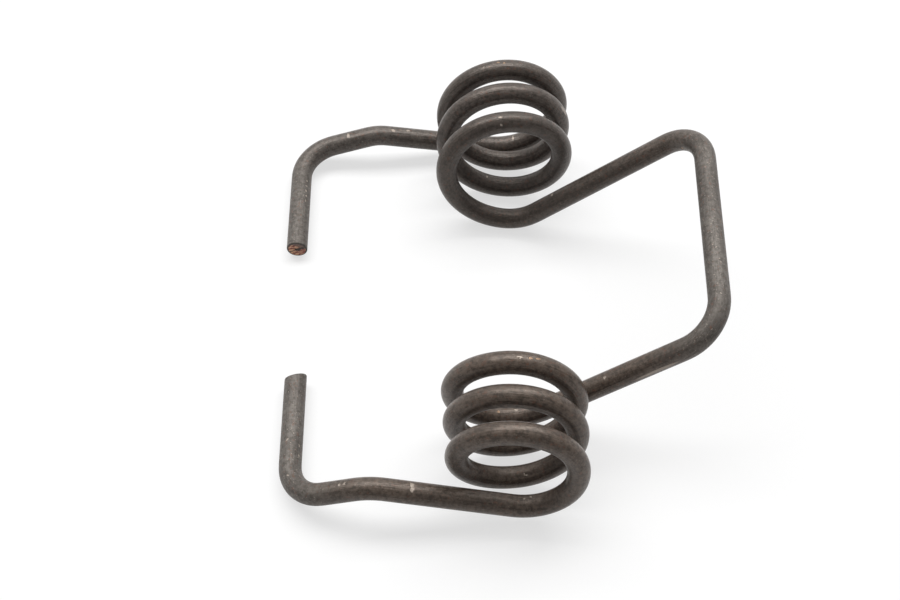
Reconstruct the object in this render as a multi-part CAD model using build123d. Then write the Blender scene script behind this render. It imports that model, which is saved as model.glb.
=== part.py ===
"""Double torsion spring, bent from one length of round steel wire.

Two open coils of opposite hand share the Y axis. Their inner ends run on as two arms, joined by a
crossbar into a bridge, and each outer end runs on as a leg with a hook that points inwards.
The origin is on the coil axis, midway between the coils. X points to the bridge and Z is up.
The far side is +Y and the near side is -Y. Lengths are in millimetres and angles in degrees.
"""
from build123d import *
from math import cos, pi, radians, sin, sqrt, tan
import os

# Wire
wire_diameter = 4.0
cut_edge_radius = 0.25

# Coils, wound outwards from the inner ends where the arms leave, a little tighter as they go.
# The turns are spread unevenly: widest next to the arm on the far side, and next to the leg on the near.
coil_turns = 3
coil_inner_end = 23.85
far_inner_end_radius = 11.45
far_outer_end_radius = 11.2
near_inner_end_radius = 10.95
near_outer_end_radius = 10.25
far_inner_pitch = 9.0
far_outer_pitch = 5.4
near_inner_pitch = 5.95
near_outer_pitch = 7.45

# Bridge: two arms that rise square to the coil axis, and the crossbar between their corners
arm_lead_angle = 4.6
arm_exit_radius = 9.45
arm_rise_angle = 41.5
far_arm_length = 42.85
near_arm_length = 40.65
bridge_corner_radius = 7.7

# Legs: a long run out of the coil, a shallow knee, a short shank down, and the hook on the ground.
# Both legs lean in a little, the far one more.
far_leg_lead_angle = 84.7
near_leg_lead_angle = 90.3
far_leg_exit_radius = 11.4
near_leg_exit_radius = 8.9
leg_rise_angle = 10.85
far_leg_toe_angle = 4.7
near_leg_toe_angle = 2.05
leg_length = 35.9
knee_radius = 8.05
shank_length = 15.8
shank_toe_angle = 6.45
hook_bend_radius = 7.25
hook_depth = 11.45
hook_length = 25.4

# The straight run left between a coil and the bend that follows it, and the arcs a turn is made of
coil_land = 0.5
arc_pairs_per_turn = 3

wire_radius = wire_diameter / 2

far = dict(
    hand=1,
    inner_radius=far_inner_end_radius,
    outer_radius=far_outer_end_radius,
    inner_pitch=far_inner_pitch,
    outer_pitch=far_outer_pitch,
    arm_length=far_arm_length,
    leg_lead=far_leg_lead_angle,
    leg_exit_radius=far_leg_exit_radius,
    leg_toe=far_leg_toe_angle,
)
near = dict(
    hand=-1,
    inner_radius=near_inner_end_radius,
    outer_radius=near_outer_end_radius,
    inner_pitch=near_inner_pitch,
    outer_pitch=near_outer_pitch,
    arm_length=near_arm_length,
    leg_lead=near_leg_lead_angle,
    leg_exit_radius=near_leg_exit_radius,
    leg_toe=near_leg_toe_angle,
)


def coil_sweep(side):
    """The turns from the coil's inner end to its outer end"""
    return coil_turns - (arm_lead_angle + side["leg_lead"]) / 360


def coil_growth(side):
    """How much wider the coil gets with each turn"""
    return (side["outer_radius"] - side["inner_radius"]) / coil_sweep(side)


def coil_stretch(side):
    """How much the pitch widens with each turn"""
    return (side["outer_pitch"] - side["inner_pitch"]) / coil_sweep(side)


def coil_point(side, turn):
    """The wire's centre after so many turns from the coil's inner end"""
    angle = radians(-90 - arm_lead_angle - 360 * turn)
    radius = side["inner_radius"] + coil_growth(side) * turn
    along = coil_inner_end + side["inner_pitch"] * turn + coil_stretch(side) * turn**2 / 2
    return Vector(radius * cos(angle), side["hand"] * along, radius * sin(angle))


def coil_direction(side, turn):
    """The way the wire runs there, going outwards"""
    angle = radians(-90 - arm_lead_angle - 360 * turn)
    radius = side["inner_radius"] + coil_growth(side) * turn
    pitch = side["inner_pitch"] + coil_stretch(side) * turn
    return Vector(
        coil_growth(side) * cos(angle) + 2 * pi * radius * sin(angle),
        side["hand"] * pitch,
        coil_growth(side) * sin(angle) - 2 * pi * radius * cos(angle),
    ).normalized()


def arc_pair(start, start_direction, end, end_direction):
    """Two arcs that share a tangent where they meet, between two points with given directions"""
    chord = end - start
    directions = start_direction + end_direction
    openness = 2 * (1 - start_direction.dot(end_direction))
    across = chord.dot(directions)
    reach = (sqrt(across**2 + openness * chord.dot(chord)) - across) / openness
    meeting = (start + end) * 0.5 + (start_direction - end_direction) * (reach / 2)
    first = TangentArc(start, meeting, tangent=start_direction)
    second = TangentArc(meeting, end, tangent=first % 1)
    return [first, second]


def coil_arcs(side):
    """The coil's centreline, from its inner end to its outer end"""
    spans = arc_pairs_per_turn * coil_turns
    span_turn = coil_sweep(side) / spans
    arcs = []
    for span in range(spans):
        here = span_turn * span
        there = span_turn * (span + 1)
        arcs += arc_pair(
            coil_point(side, here),
            coil_direction(side, here),
            coil_point(side, there),
            coil_direction(side, there),
        )
    return arcs


def bend_corner(start, direction, next_direction, radius):
    """The corner of a bend of that radius that begins just after the start"""
    turn = radians(direction.get_angle(next_direction))
    return start + direction * (radius * tan(turn / 2) + coil_land)


def arm_points(side):
    """The coil's inner end, the arm's foot and the bridge's corner"""
    rise = radians(arm_rise_angle)
    arm = Vector(cos(rise), 0, sin(rise))
    inner_end = coil_point(side, 0)
    foot = bend_corner(inner_end, -coil_direction(side, 0), arm, arm_exit_radius)
    return [inner_end, foot, foot + arm * side["arm_length"]]


def leg_points(side):
    """The coil's outer end, the leg's foot, the knee, the hook's corner and the hook's end"""
    rise = radians(leg_rise_angle)
    toe = radians(side["leg_toe"])
    leg = Vector(-cos(rise) * cos(toe), -side["hand"] * cos(rise) * sin(toe), sin(rise))
    outer_end = coil_point(side, coil_sweep(side))
    leaving = coil_direction(side, coil_sweep(side))
    foot = bend_corner(outer_end, leaving, leg, side["leg_exit_radius"])
    knee = foot + leg * leg_length

    # The hooks lie about level with the bottoms of the coils
    drop = knee.Z + hook_depth
    reach = sqrt(shank_length**2 - drop**2)
    toe = radians(shank_toe_angle)
    hook_corner = knee + Vector(-reach * cos(toe), -side["hand"] * reach * sin(toe), -drop)
    hook_end = hook_corner - Vector(0, side["hand"] * hook_length, 0)
    return [outer_end, foot, knee, hook_corner, hook_end]


def leg_path(side):
    """The centreline from the coil to the hook's end"""
    radii = [side["leg_exit_radius"], knee_radius, hook_bend_radius]
    return FilletPolyline(*leg_points(side), radius=radii)


def bridge_path():
    """The centreline from one coil to the other, over the crossbar"""
    radii = [arm_exit_radius, bridge_corner_radius, bridge_corner_radius, arm_exit_radius]
    return FilletPolyline(*arm_points(far), *reversed(arm_points(near)), radius=radii)


def spring_wire():
    """One round section swept along the whole centreline, with the two cut edges eased"""
    centreline = Wire(
        [
            *leg_path(far).edges(),
            *coil_arcs(far),
            *bridge_path().edges(),
            *coil_arcs(near),
            *leg_path(near).edges(),
        ]
    )
    hook_corner, hook_end = leg_points(far)[-2:]
    section = Plane(origin=hook_end, z_dir=hook_corner - hook_end) * Circle(wire_radius)
    wire = sweep(section, path=centreline)
    cut_edges = wire.faces().filter_by(GeomType.PLANE).edges()
    return fillet(cut_edges, cut_edge_radius), centreline.length


os.makedirs("parts", exist_ok=True)
spring, wire_length = spring_wire()
export_step(spring, "parts/double_torsion_spring.step")
print("wire length", wire_length, "section times length", pi * wire_radius**2 * wire_length)
print("volume", spring.volume, "box", spring.bounding_box())
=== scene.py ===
"""Double torsion spring of a chain adjuster, one length of oil-tempered wire lying on a white table.

The wire and the marks on it are given in millimetres and all else in metres. Angles are in degrees.
"""

import bmesh
import bpy
from math import ceil, cos, pi, radians, sin, sqrt, tan
from mathutils import Matrix, Vector, noise


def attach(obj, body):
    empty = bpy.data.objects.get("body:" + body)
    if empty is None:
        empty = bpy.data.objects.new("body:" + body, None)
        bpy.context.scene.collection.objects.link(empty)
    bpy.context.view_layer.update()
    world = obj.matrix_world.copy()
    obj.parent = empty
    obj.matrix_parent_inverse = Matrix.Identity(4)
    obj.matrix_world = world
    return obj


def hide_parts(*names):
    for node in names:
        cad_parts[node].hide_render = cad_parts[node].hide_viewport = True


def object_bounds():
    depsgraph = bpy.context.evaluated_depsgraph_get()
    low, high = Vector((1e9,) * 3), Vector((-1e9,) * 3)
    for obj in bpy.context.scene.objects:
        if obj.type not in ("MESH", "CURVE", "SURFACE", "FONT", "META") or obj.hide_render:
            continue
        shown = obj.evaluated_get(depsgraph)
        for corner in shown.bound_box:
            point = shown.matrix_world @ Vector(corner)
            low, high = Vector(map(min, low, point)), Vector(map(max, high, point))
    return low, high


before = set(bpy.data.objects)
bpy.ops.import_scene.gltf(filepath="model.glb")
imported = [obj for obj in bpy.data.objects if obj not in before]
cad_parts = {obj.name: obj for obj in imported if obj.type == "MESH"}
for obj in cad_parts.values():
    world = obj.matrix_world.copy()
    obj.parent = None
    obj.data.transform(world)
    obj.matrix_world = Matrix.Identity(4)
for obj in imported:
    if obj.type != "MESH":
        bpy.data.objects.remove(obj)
frame_low, frame_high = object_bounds()

# Spring wire. The real piece is one length of drawn, oil-tempered spring steel wire, bent cold:
# two coils of opposite hand with a bridge between them and a hooked leg outside each.
# Both ends are sheared off, and the black-brown scale is thin and a little speckled.
millimetre = 0.001
wire_radius = 2.0
wire_sides = 24
wire_step = 1.0
shortest_run = 1e-4
far = dict(
    hand=1,
    inner_radius=11.45,
    outer_radius=11.2,
    inner_pitch=9.0,
    outer_pitch=5.4,
    arm_length=42.85,
    leg_lead=84.7,
    leg_exit_radius=11.4,
    leg_toe=4.7,
)
near = dict(
    hand=-1,
    inner_radius=10.95,
    outer_radius=10.25,
    inner_pitch=5.95,
    outer_pitch=7.45,
    arm_length=40.65,
    leg_lead=90.3,
    leg_exit_radius=8.9,
    leg_toe=2.05,
)
coil_turns = 3
coil_inner_end = 23.85
coil_land = 0.5
arc_pairs_per_turn = 3
arm_lead_angle = 4.6
arm_exit_radius = 9.45
arm_rise_angle = 41.5
bridge_corner_radius = 7.7
leg_rise_angle = 10.85
leg_length = 35.9
knee_radius = 8.05
shank_length = 15.8
shank_toe_angle = 6.45
hook_bend_radius = 7.25
hook_depth = 11.45
hook_length = 25.4


def coil_sweep(side):
    """The turns from the coil's inner end to its outer end"""
    return coil_turns - (arm_lead_angle + side["leg_lead"]) / 360


def coil_place(side, turn):
    """The wire's centre and heading so many turns out from the coil's inner end"""
    growth = (side["outer_radius"] - side["inner_radius"]) / coil_sweep(side)
    stretch = (side["outer_pitch"] - side["inner_pitch"]) / coil_sweep(side)
    angle = radians(-90 - arm_lead_angle - 360 * turn)
    radius = side["inner_radius"] + growth * turn
    pitch = side["inner_pitch"] + stretch * turn
    along = coil_inner_end + side["inner_pitch"] * turn + stretch * turn**2 / 2
    place = Vector((radius * cos(angle), side["hand"] * along, radius * sin(angle)))
    heading = Vector(
        (
            growth * cos(angle) + 2 * pi * radius * sin(angle),
            side["hand"] * pitch,
            growth * sin(angle) - 2 * pi * radius * cos(angle),
        )
    )
    return place, heading.normalized()


def foot(place, heading, next_heading, radius):
    """The corner of the bend that follows a coil"""
    return place + heading * (radius * tan(heading.angle(next_heading) / 2) + coil_land)


def arm_line(side):
    """Coil end, arm foot and bridge corner"""
    place, heading = coil_place(side, 0)
    rise = radians(arm_rise_angle)
    arm = Vector((cos(rise), 0, sin(rise)))
    arm_foot = foot(place, -heading, arm, arm_exit_radius)
    return [place, arm_foot, arm_foot + arm * side["arm_length"]]


def leg_line(side):
    """Coil end, leg foot, knee, hook corner and hook end"""
    place, heading = coil_place(side, coil_sweep(side))
    rise = radians(leg_rise_angle)
    toe = radians(side["leg_toe"])
    leg = Vector((-cos(rise) * cos(toe), -side["hand"] * cos(rise) * sin(toe), sin(rise)))
    leg_foot = foot(place, heading, leg, side["leg_exit_radius"])
    knee = leg_foot + leg * leg_length
    drop = knee.z + hook_depth
    reach = sqrt(shank_length**2 - drop**2)
    toe = radians(shank_toe_angle)
    corner = knee + Vector((-reach * cos(toe), -side["hand"] * reach * sin(toe), -drop))
    return [place, leg_foot, knee, corner, corner - Vector((0, side["hand"] * hook_length, 0))]


# The wire is drawn from the far hook's end to the near one's. It keeps its open ring of edges, its
# centre and its heading in run_state, and its points keep two attributes for the material:
# "wire" is how far along the wire a point is and its place round it, and "cut" its place on a cut end.
bm = bmesh.new()
wire_layer = bm.verts.layers.float_vector.new("wire")
cut_layer = bm.verts.layers.float_vector.new("cut")
run_state = {}


def carry(centre, axis, angle, shift, steps, distance):
    """Draws the open ring on in even steps, by a turn or a shift"""
    before = len(bm.verts)
    moved = shift / steps
    grown = bmesh.ops.spin(
        bm, geom=run_state["ring"], cent=centre, axis=axis, dvec=moved, angle=angle, steps=steps
    )["geom_last"]
    bm.verts.ensure_lookup_table()
    for count, vert in enumerate(bm.verts[before:]):
        ring_number = count // wire_sides + 1
        vert[wire_layer] = vert[wire_layer] + Vector((distance * ring_number / steps, 0, 0))
    run_state["ring"] = [item for item in grown if isinstance(item, bmesh.types.BMEdge)]


def feed(length):
    """A straight run"""
    if length < shortest_run:
        return
    heading = run_state["heading"]
    carry(Vector(), heading, 0, heading * length, ceil(length / wire_step), length)
    run_state["place"] = run_state["place"] + heading * length


def bend(axis, radius, angle):
    """A bend of that radius about an axis square to the wire"""
    inward = axis.cross(run_state["heading"]).normalized()
    centre = run_state["place"] + inward * radius
    steps = ceil(radius * angle / wire_step)
    carry(centre, axis, angle, Vector(), steps, radius * angle)
    turn = Matrix.Rotation(angle, 3, axis)
    run_state["place"] = centre + turn @ (run_state["place"] - centre)
    run_state["heading"] = (turn @ run_state["heading"]).normalized()


def follow(points, radii):
    """Straight runs from corner to corner, with a bend at each"""
    for corner, beyond, radius in zip(points[1:-1], points[2:], radii):
        heading = run_state["heading"]
        next_heading = (beyond - corner).normalized()
        angle = heading.angle(next_heading)
        feed((corner - run_state["place"]).length - radius * tan(angle / 2))
        bend(heading.cross(next_heading).normalized(), radius, angle)
    feed((points[-1] - run_state["place"]).length)


def arc_to(end):
    """A bend that ends at a point"""
    heading = run_state["heading"]
    chord = end - run_state["place"]
    half = heading.angle(chord)
    bend(heading.cross(chord).normalized(), chord.length / 2 / sin(half), 2 * half)


def wind(side, turns):
    """Two tangent arcs for each part of a turn"""
    for here, there in zip(turns[:-1], turns[1:]):
        start, start_heading = coil_place(side, here)
        end, end_heading = coil_place(side, there)
        if there < here:
            start_heading, end_heading = -start_heading, -end_heading
        chord = end - start
        openness = 2 * (1 - start_heading.dot(end_heading))
        across = chord.dot(start_heading + end_heading)
        reach = (sqrt(across**2 + openness * chord.dot(chord)) - across) / openness
        arc_to((start + end) / 2 + (start_heading - end_heading) * (reach / 2))
        arc_to(end)


# The sheared ends. Each has an eased rim round a face that tore, in rings that close on its middle
rim_radius = 0.18
rim_angles = (22, 45, 67, 90)
torn_rings = 8
ring_share = 0.1
tear_scale = 2.2
tear_height = 0.12
rim_mark = 0.4
torn_mark = 1
shear_depth = 3.0
roll_sharpness = 1.5


def shear(ring, outwards, seed):
    """Closes an end: an eased rim, then the torn face that the shears leave"""
    run_state["ring"] = ring
    middle = sum((edge.verts[0].co for edge in ring), Vector()) / len(ring)
    rings = []
    for angle in rim_angles:
        narrowing = rim_radius * (1 - cos(radians(angle)))
        rings.append((rim_radius * sin(radians(angle)), wire_radius - narrowing, rim_mark))
    for number in range(torn_rings, 0, -1):
        rings.append((rim_radius, wire_radius * ring_share * number, torn_mark))
    here, size = 0, wire_radius
    for height, radius, mark in rings:
        grown = bmesh.ops.extrude_edge_only(bm, edges=run_state["ring"])["geom"]
        verts = [item for item in grown if isinstance(item, bmesh.types.BMVert)]
        found = set(verts)
        bmesh.ops.translate(bm, verts=verts, vec=outwards * (height - here))
        about = Matrix.Translation(-(middle + outwards * height))
        bmesh.ops.scale(bm, verts=verts, vec=(radius / size,) * 3, space=about)
        for vert in verts:
            offset = vert.co - middle
            vert[cut_layer] = Vector((offset.x, offset.z, mark))
            if mark == torn_mark:
                lift = noise.noise(vert.co * tear_scale + Vector((seed, 0, 0))) * tear_height
                vert.co += outwards * lift
        run_state["ring"] = [
            item
            for item in grown
            if isinstance(item, bmesh.types.BMEdge) and item.verts[0] in found and item.verts[1] in found
        ]
        here, size = height, radius
    face = bmesh.ops.contextual_create(bm, geom=run_state["ring"])["faces"]
    bmesh.ops.poke(bm, faces=face)


def slant(middle, outwards, reach, sideways, roll_over):
    """Sets an end askew, a side further out and the top drawn back, as the blade does where it goes in"""
    for vert in bm.verts:
        offset = vert.co - middle
        if offset.length < 2 * wire_radius:
            nearness = min(max(1 + offset.dot(outwards) / shear_depth, 0), 1)
            top = max(offset.z / wire_radius, 0)
            shift = reach + sideways * offset.x / wire_radius - roll_over * top**roll_sharpness
            vert.co += outwards * (shift * nearness)


far_leg = leg_line(far)
far_arm = arm_line(far)
near_arm = arm_line(near)
near_leg = leg_line(near)

# The first ring, widened so that the smoothed wire has its full radius
outwards = (far_leg[4] - far_leg[3]).normalized()
start = far_leg[4] - outwards * rim_radius
cage_radius = wire_radius * 3 / (2 + cos(2 * pi / wire_sides))
section = bmesh.ops.create_circle(bm, segments=wire_sides, radius=cage_radius)["verts"]
for vert in section:
    vert[wire_layer] = Vector((0, vert.co.x / cage_radius, vert.co.y / cage_radius))
facing = (-outwards).to_track_quat("Z", "X").to_matrix().to_4x4()
bmesh.ops.transform(bm, matrix=Matrix.Translation(start) @ facing, verts=section)
first_ring = list({edge for vert in section for edge in vert.link_edges})
run_state.update(place=start, heading=-outwards, ring=first_ring)

# Far leg, far coil, bridge, near coil and near leg
arc_spans = arc_pairs_per_turn * coil_turns
follow(far_leg[::-1], [hook_bend_radius, knee_radius, far["leg_exit_radius"]])
wind(far, [coil_sweep(far) * span / arc_spans for span in range(arc_spans, -1, -1)])
follow(
    far_arm + near_arm[::-1],
    [arm_exit_radius, bridge_corner_radius, bridge_corner_radius, arm_exit_radius],
)
wind(near, [coil_sweep(near) * span / arc_spans for span in range(arc_spans + 1)])
near_end = near_leg[:4] + [near_leg[4] - (near_leg[4] - near_leg[3]).normalized() * rim_radius]
follow(near_end, [near["leg_exit_radius"], knee_radius, hook_bend_radius])
last_ring = run_state["ring"]
near_outwards = run_state["heading"].copy()
shear(last_ring, near_outwards, seed=3.7)
shear(first_ring, outwards, seed=0)
slant(near_leg[4], near_outwards, reach=-0.26, sideways=0.52, roll_over=0.45)
slant(far_leg[4], outwards, reach=0.08, sideways=0.05, roll_over=0.0)

bmesh.ops.recalc_face_normals(bm, faces=bm.faces)
bmesh.ops.scale(bm, verts=bm.verts, vec=(millimetre, millimetre, millimetre))
mesh = bpy.data.meshes.new("spring_wire")
bm.to_mesh(mesh)
bm.free()
mesh.shade_smooth()
spring = bpy.data.objects.new("spring_wire", mesh)
bpy.context.scene.collection.objects.link(spring)

smoother = spring.modifiers.new("smoother", "SUBSURF")
smoother.levels = 1
smoother.render_levels = 1

steel = bpy.data.materials.new("oil_tempered_steel")
steel.use_nodes = True
tree = steel.node_tree
tree.nodes.clear()


def put(kind, **settings):
    """A node, with properties by name and inputs by name or number"""
    made = tree.nodes.new(kind)
    for name, value in settings.items():
        if name == "inputs":
            for socket, given in value.items():
                if isinstance(given, bpy.types.NodeSocket):
                    tree.links.new(given, made.inputs[socket])
                else:
                    made.inputs[socket].default_value = given
        else:
            setattr(made, name, value)
    return made


def maths(operation, first, second=0.0):
    """One sum on two values"""
    return put("ShaderNodeMath", operation=operation, inputs={0: first, 1: second}).outputs[0]


def vector_maths(operation, first, second):
    """One sum on two vectors"""
    return put("ShaderNodeVectorMath", operation=operation, inputs={0: first, 1: second}).outputs[0]


def length_of(vector):
    """How long a vector is"""
    return put("ShaderNodeVectorMath", operation="LENGTH", inputs={0: vector}).outputs["Value"]


def between(value, limits, bottom=0.0, top=1.0):
    """A smooth rise from bottom to top while the value goes from one limit to the other"""
    settings = {0: value, 1: limits[0], 2: limits[1], 3: bottom, 4: top}
    return put("ShaderNodeMapRange", interpolation_type="SMOOTHSTEP", inputs=settings).outputs[0]


def fading(value, limits):
    """A smooth fall from one to nothing between two limits"""
    return between(value, limits, bottom=1.0, top=0.0)


def pattern(where, scale, detail, roughness, stretch=(1, 1, 1), shift=0.0):
    """Noise in millimetres of wire, so many cycles to the millimetre"""
    laid = put(
        "ShaderNodeMapping",
        vector_type="POINT",
        inputs={0: where, 1: (shift, shift, shift), 3: stretch},
    ).outputs[0]
    settings = {"Vector": laid, "Scale": scale, "Detail": detail, "Roughness": roughness}
    return put("ShaderNodeTexNoise", inputs=settings).outputs[0]


def blend_colours(share, under, over):
    """One colour over another"""
    return put("ShaderNodeMix", data_type="RGBA", inputs={0: share, 6: under, 7: over}).outputs[2]


def lay_on(under, over, cover, strength):
    """A colour laid over another where it covers it, with that strength"""
    return blend_colours(maths("MULTIPLY", cover, strength), under, over)


attribute = put("ShaderNodeAttribute", attribute_name="wire").outputs["Vector"]
unrolled = vector_maths("MULTIPLY", attribute, (1, wire_radius, wire_radius))
along = put("ShaderNodeSeparateXYZ", inputs={0: unrolled}).outputs[0]

# Scale. Thin and speckled, with faint lines along the wire from the drawing die
scale_dark = (0.036, 0.030, 0.026, 1)
scale_grey = (0.112, 0.092, 0.080, 1)
brown_dark = (0.042, 0.032, 0.026, 1)
brown = (0.132, 0.101, 0.080, 1)
rubbed_dark = (0.065, 0.058, 0.051, 1)
rubbed_grey = (0.156, 0.143, 0.129, 1)
noise_middle = 0.5
drawn_weight = 0.35
grain_limits = (0.32, 0.66)
speckle = pattern(unrolled, scale=1.4, detail=5, roughness=0.75)
drawn = pattern(unrolled, scale=4.0, detail=2, roughness=0.6, stretch=(0.04, 1, 1))
lines = maths("MULTIPLY", maths("SUBTRACT", drawn, noise_middle), drawn_weight)
grain = between(maths("ADD", speckle, lines), grain_limits)

# The hooks and the crossbar have rubbed paler than the coils, and the far leg half as much.
# The limits are places along the wire where a change of colour starts and is complete.
far_hook_stops = (14, 34)
far_leg_stops = (30, 70)
crossbar_starts = (314, 334)
crossbar_stops = (364, 382)
near_hook_starts = (632, 652)
far_leg_rubbing = 0.5
hook_wear = maths("ADD", fading(along, far_hook_stops), between(along, near_hook_starts))
crossbar_wear = maths("MULTIPLY", between(along, crossbar_starts), fading(along, crossbar_stops))
wear = maths("ADD", hook_wear, crossbar_wear)
paler = maths("MAXIMUM", wear, between(along, far_leg_stops, far_leg_rubbing, 0.0))

# From the far coil to the near one the scale turns browner
brown_limits = (200, 420)
scale = blend_colours(
    between(along, brown_limits),
    blend_colours(grain, scale_dark, scale_grey),
    blend_colours(grain, brown_dark, brown),
)
colour = blend_colours(paler, scale, blend_colours(grain, rubbed_dark, rubbed_grey))

# Darker clouds, and a darker stretch from the middle of the far coil up the far arm
cloud_limits = (0.46, 0.64)
cloud_strength = 0.3
dark_starts = (180, 225)
dark_stops = (300, 325)
dark_strength = 0.35
clouds = pattern(unrolled, scale=0.2, detail=4, roughness=0.6, stretch=(0.6, 1, 1), shift=7.0)
darker = maths("MULTIPLY", between(along, dark_starts), fading(along, dark_stops))
colour = lay_on(colour, scale_dark, between(clouds, cloud_limits), cloud_strength)
colour = lay_on(colour, scale_dark, darker, dark_strength)

# Rust specks, and pale specks that show most where the wire is rubbed
rust_red = (0.150, 0.062, 0.038, 1)
# A pale colour for nicks and specks, which also paints the highlights among the marks below
pale_marks_and_highlights = (0.46, 0.39, 0.33, 1)
rust_limits = (0.58, 0.70)
rust_strength = 0.5
pale_speck_limits = (0.64, 0.74)
pale_specks_on_scale = 0.2
pale_specks_where_rubbed = 0.7
rust = pattern(unrolled, scale=1.5, detail=3, roughness=0.6, shift=31.0)
pale_speck_noise = pattern(unrolled, scale=3.0, detail=2, roughness=0.5, shift=57.0)
colour = lay_on(colour, rust_red, between(rust, rust_limits), rust_strength)
pale_speck_strength = between(paler, (0, 1), pale_specks_on_scale, pale_specks_where_rubbed)
colour = lay_on(colour, pale_marks_and_highlights, between(pale_speck_noise, pale_speck_limits), pale_speck_strength)

# Small marks have ragged edges. Every mark is full up to the first share of its radius and has faded
# out by the second.
mark_edge = (0.6, 1.1)
ragged_scale = 2.2
ragged_detail = 3.0
ragged_reach = (0.8, 0.8, 0.8)
settings = {"Vector": unrolled, "Scale": ragged_scale, "Detail": ragged_detail}
jitter = put("ShaderNodeTexNoise", inputs=settings).outputs["Color"]
jitter = vector_maths("SUBTRACT", jitter, (noise_middle, noise_middle, noise_middle))
settings = {0: jitter, 1: ragged_reach, 2: unrolled}
ragged = put("ShaderNodeVectorMath", operation="MULTIPLY_ADD", inputs=settings).outputs[0]


def spot(where, along, around, long, wide):
    """A mark so far along the wire and so many degrees round it, with its length and width"""
    about = (along, wire_radius * cos(radians(around)), wire_radius * sin(radians(around)))
    offset = vector_maths("SUBTRACT", where, about)
    offset = vector_maths("DIVIDE", offset, (long / 2, wide / 2, wide / 2))
    return fading(length_of(offset), mark_edge)


def spots(places):
    """The share covered by any mark of a list, with ragged edges"""
    covered = 0.0
    for place in places:
        covered = maths("MAXIMUM", spot(ragged, *place), covered)
    return covered


# Marks that show plainly: how far along the wire, how many degrees round it, how long and how wide. A few
# of them are painted highlights in the same pale colour: the flare on the far coil at 159 mm and the two
# streaks on the inner turn at 244.5 mm.
speck = (0.5, 0.5)
row_start = 11
row_gap = 1.3
row_angle = 36
row_count = 5
far_hook_specks = [(row_start + row_gap * number, row_angle, *speck) for number in range(row_count)]
far_leg_nicks = [(33, -10, 0.6, 1.3), (41.5, -5, 0.8, 0.7), (44.5, -15, 1.0, 0.8), (68, -10, 0.5, 1.6)]
# The long pale mark at 159 mm is a painted highlight, a flare on the ring's outer edge; the other two are
# nicks
far_coil_nicks_and_highlight = [(104, 165, *speck), (159, -170, 2.8, 0.9), (203.5, 45, 0.6, 0.9)]
far_coil_rust = [(100.5, 170, 0.5, 0.4), (101.5, 180, 0.5, 0.4)]
# Painted highlights: two pale streaks on top of the inner turn, laid on as marks
inner_turn_highlight_streaks = [(244.5, -125, 0.9, 0.5), (244.5, -170, 0.4, 0.4)]
arm_nicks = [(292, 80, 0.6, 0.8), (388, 80, 0.6, 0.8), (408, 90, 1.3, 0.4)]
arm_rust = [(322.5, 170, 1.4, 0.5), (412, 80, 0.7, 0.7)]
near_coil_nicks = [(443.5, -105, 1.2, 0.5), (541.5, -10, *speck), (542, -5, *speck)]
near_coil_rust = [(445, -105, 0.6, 0.5), (446, -110, 0.9, 0.5)]
leg_foot_nicks = [(606, 5, *speck), (607.5, -5, 0.7, 0.5)]
leg_knock = [(627.5, -5, 1.0, 1.1), (627.5, -30, 0.8, 1.2)]
shank_nicks = [(638, -10, 0.5, 0.6), (639, -15, 0.6, 0.6)]
near_hook_specks = [(651, -15, *speck), (655.5, 55, *speck), (657.5, 55, *speck), (658.5, -10, *speck)]
fresh_rust = (0.50, 0.31, 0.19, 1)
nick_and_highlight_strength = 0.8
rusty_strength = 0.7
pale_strip_strength = 0.9
far_nicks_and_highlights = far_hook_specks + far_leg_nicks + far_coil_nicks_and_highlight + inner_turn_highlight_streaks
near_nicks = near_coil_nicks + leg_foot_nicks + leg_knock + shank_nicks + near_hook_specks
nicks_and_highlights = spots(far_nicks_and_highlights + arm_nicks + near_nicks)
rusty_nicks = spots(far_coil_rust + arm_rust + near_coil_rust)
# A long, narrow pale strip along the wire at the bridge's near corner
pale_strip = spot(unrolled, along=378.5, around=0, long=10.0, wide=0.8)
# Pale nicks, and with them the painted highlights
colour = lay_on(colour, pale_marks_and_highlights, nicks_and_highlights, nick_and_highlight_strength)
colour = lay_on(colour, fresh_rust, rusty_nicks, rusty_strength)
colour = lay_on(colour, pale_marks_and_highlights, pale_strip, pale_strip_strength)

# The sheared faces. The blade left the upper side smooth and brown, the rest tore away coppery and red,
# and a dark score runs slantwise between the two. The score and the upper side are set in millimetres,
# the flecks by the height of their noise, and the rim and the face by the mark that their rings carry.
torn_copper = (0.80, 0.46, 0.28, 1)
torn_red = (0.26, 0.065, 0.050, 1)
scored_dark = (0.025, 0.018, 0.014, 1)
score_turn = radians(-31)
score_wander = 2.0
score_edge = (0.1, 0.35)
upper_slope = 0.7
upper_lean = 0.9
upper_limits = (0.8, 1.3)
upper_strength = 0.8
fleck_limits = (0.48, 0.55)
fleck_drift = 0.04
rim_limits = (0.02, 0.3)
rim_strength = 0.75
face_limits = (0.6, 0.95)
cut = put("ShaderNodeAttribute", attribute_name="cut").outputs["Vector"]
settings = {0: cut, 2: (0, 0, score_turn)}
slantwise = put("ShaderNodeMapping", vector_type="POINT", inputs=settings).outputs[0]
across, upwards, torn = put("ShaderNodeSeparateXYZ", inputs={0: slantwise}).outputs
tear = pattern(slantwise, scale=1.6, detail=3, roughness=0.6, stretch=(0.6, 1, 0))
wander = maths("MULTIPLY", maths("SUBTRACT", tear, noise_middle), score_wander)
score = maths("ABSOLUTE", maths("ADD", upwards, wander))
fleck = pattern(slantwise, scale=2.0, detail=3, roughness=0.6, stretch=(0.5, 1, 0), shift=4.0)
fleck = maths("SUBTRACT", fleck, maths("MULTIPLY", across, fleck_drift))
leaning = maths("MULTIPLY", across, upper_lean)
upper_side = maths("ADD", maths("MULTIPLY", upwards, upper_slope), leaning)
face = blend_colours(between(fleck, fleck_limits), torn_red, torn_copper)
face = lay_on(face, scale_grey, between(upper_side, upper_limits), upper_strength)
face = blend_colours(fading(score, score_edge), face, scored_dark)
colour = lay_on(colour, scale_dark, between(torn, rim_limits), rim_strength)
colour = blend_colours(between(torn, face_limits), colour, face)

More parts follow.
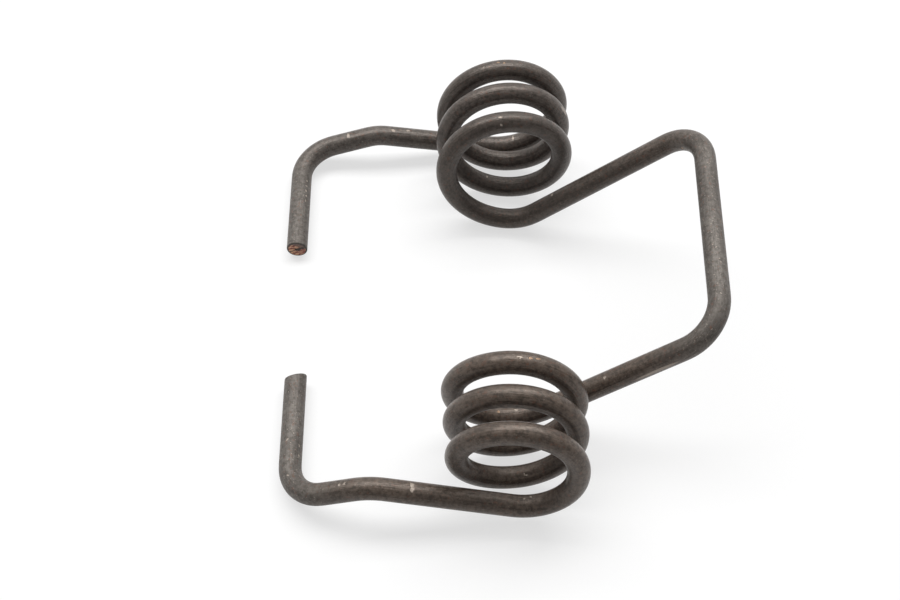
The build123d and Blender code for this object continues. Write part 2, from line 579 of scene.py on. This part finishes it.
# Gloss. The scale is satin, smoother where it is speckled pale, and the rubbed places are duller
gloss_limits = (0.3, 0.7)
rough_scale = 0.36
smooth_scale = 0.27
rubbed_dulling = 0.15
gloss = between(speckle, gloss_limits, rough_scale, smooth_scale)
bump = put(
    "ShaderNodeBump",
    inputs={
        "Strength": 0.6,
        "Distance": 0.0001,
        "Height": maths("SUBTRACT", maths("ADD", speckle, drawn), maths("ADD", nicks_and_highlights, rusty_nicks)),
    },
).outputs[0]
shader = put(
    "ShaderNodeBsdfPrincipled",
    inputs={
        "Base Color": colour,
        "Metallic": 0.1,
        "Roughness": maths("ADD", gloss, maths("MULTIPLY", wear, rubbed_dulling)),
        "Specular IOR Level": 0.5,
        "Specular Tint": (1.0, 0.9, 0.82, 1),
        "Normal": bump,
    },
).outputs[0]
put("ShaderNodeOutputMaterial", inputs={"Surface": shader})
mesh.materials.append(steel)
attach(spring, "root")
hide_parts("double_torsion_spring")

# Table. A plain sheet under the spring, which keeps only its soft shadow. It is white to the camera
# and in reflections, and throws back less light than that, as the photograph's dark undersides show.
sheet_half_width = 3.0
sheet_grey = 0.36
shadow_ends = (0.15, 0.45)
white = (1, 1, 1, 1)
floor_mesh = bpy.data.meshes.new("floor")
floor_bm = bmesh.new()
bmesh.ops.create_grid(floor_bm, x_segments=1, y_segments=1, size=sheet_half_width)
bmesh.ops.translate(floor_bm, verts=floor_bm.verts, vec=(0, 0, frame_low.z))
floor_bm.to_mesh(floor_mesh)
floor_bm.free()
floor = bpy.data.objects.new("floor", floor_mesh)
bpy.context.scene.collection.objects.link(floor)
sheet = bpy.data.materials.new("white_sheet")
sheet.use_nodes = True
tree = sheet.node_tree
tree.nodes.clear()


def backdrop_rays():
    """1 for the rays that show the background: those of the camera, of reflections and through glass"""
    path = put("ShaderNodeLightPath").outputs
    shown = maths("MAXIMUM", path["Is Camera Ray"], path["Is Glossy Ray"])
    return maths("MAXIMUM", shown, path["Is Transmission Ray"])


matt = put("ShaderNodeBsdfDiffuse", inputs={"Color": (sheet_grey, sheet_grey, sheet_grey, 1)}).outputs[0]
whitening = maths("MULTIPLY", backdrop_rays(), 1 - sheet_grey)
glow = put("ShaderNodeEmission", inputs={"Color": white, "Strength": whitening}).outputs[0]
lit = put("ShaderNodeAddShader", inputs={0: matt, 1: glow}).outputs[0]

# Past the shadow the sheet turns plain white, so its edge doesn't show against the room
away = length_of(put("ShaderNodeTexCoord").outputs["Object"])
plain_share = maths("MULTIPLY", between(away, shadow_ends), backdrop_rays())
plain = put("ShaderNodeEmission", inputs={"Color": white, "Strength": 1.0}).outputs[0]
mixed = put("ShaderNodeMixShader", inputs={0: plain_share, 1: lit, 2: plain}).outputs[0]
put("ShaderNodeOutputMaterial", inputs={"Surface": mixed})
floor_mesh.materials.append(sheet)

# Light. A wide soft box behind and above the spring, in an even room. The camera sees the room as white,
# and reflections show that white too, except on the near side of the room, which stays dimmer there.
room_strength = 0.3
backdrop_strength = 1.0
behind_limits = (-0.4, 0.2)
world = bpy.data.worlds.new("room")
bpy.context.scene.world = world
world.use_nodes = True
tree = world.node_tree
tree.nodes.clear()
room = put("ShaderNodeBackground", inputs={"Color": white, "Strength": room_strength}).outputs[0]
backdrop = put("ShaderNodeBackground", inputs={"Color": white, "Strength": backdrop_strength}).outputs[0]
direction = put("ShaderNodeTexCoord").outputs["Object"]
behind = between(put("ShaderNodeSeparateXYZ", inputs={0: direction}).outputs[1], behind_limits)
by_eye = put("ShaderNodeLightPath").outputs["Is Camera Ray"]
white_share = maths("MULTIPLY", backdrop_rays(), maths("MAXIMUM", behind, by_eye))
picked = put("ShaderNodeMixShader", inputs={0: white_share, 1: room, 2: backdrop}).outputs[0]
put("ShaderNodeOutputWorld", inputs={"Surface": picked})

soft_box_data = bpy.data.lights.new("soft_box", "AREA")
soft_box_data.shape = "RECTANGLE"
soft_box_data.size = 1.2
soft_box_data.size_y = 0.36
soft_box_data.energy = 8.0
soft_box = bpy.data.objects.new("soft_box", soft_box_data)
soft_box.location = (-0.05, 0.32, 0.75)
soft_box.rotation_euler = (-Vector(soft_box.location)).to_track_quat("-Z", "Y").to_euler()
bpy.context.scene.collection.objects.link(soft_box)

# Camera. It looks down on the spring from the near side, as in the photograph. The shift stands for
# the part of a larger picture that the photograph seems to have been cut from.
camera_data = bpy.data.cameras.new("camera")
camera_data.sensor_width = 36
camera_data.lens = 53.597
camera_data.shift_x = -0.0833
camera_data.shift_y = 0.0878
camera_data.clip_start = 0.01
camera_data.clip_end = 10
camera = bpy.data.objects.new("camera", camera_data)
camera.location = (-0.019218, -0.152638, 0.195738)
camera.rotation_euler = (radians(33.6165), radians(-4.6009), radians(-2.3766))
bpy.context.scene.collection.objects.link(camera)
bpy.context.scene.camera = camera

scene = bpy.context.scene
scene.view_settings.view_transform = "Standard"
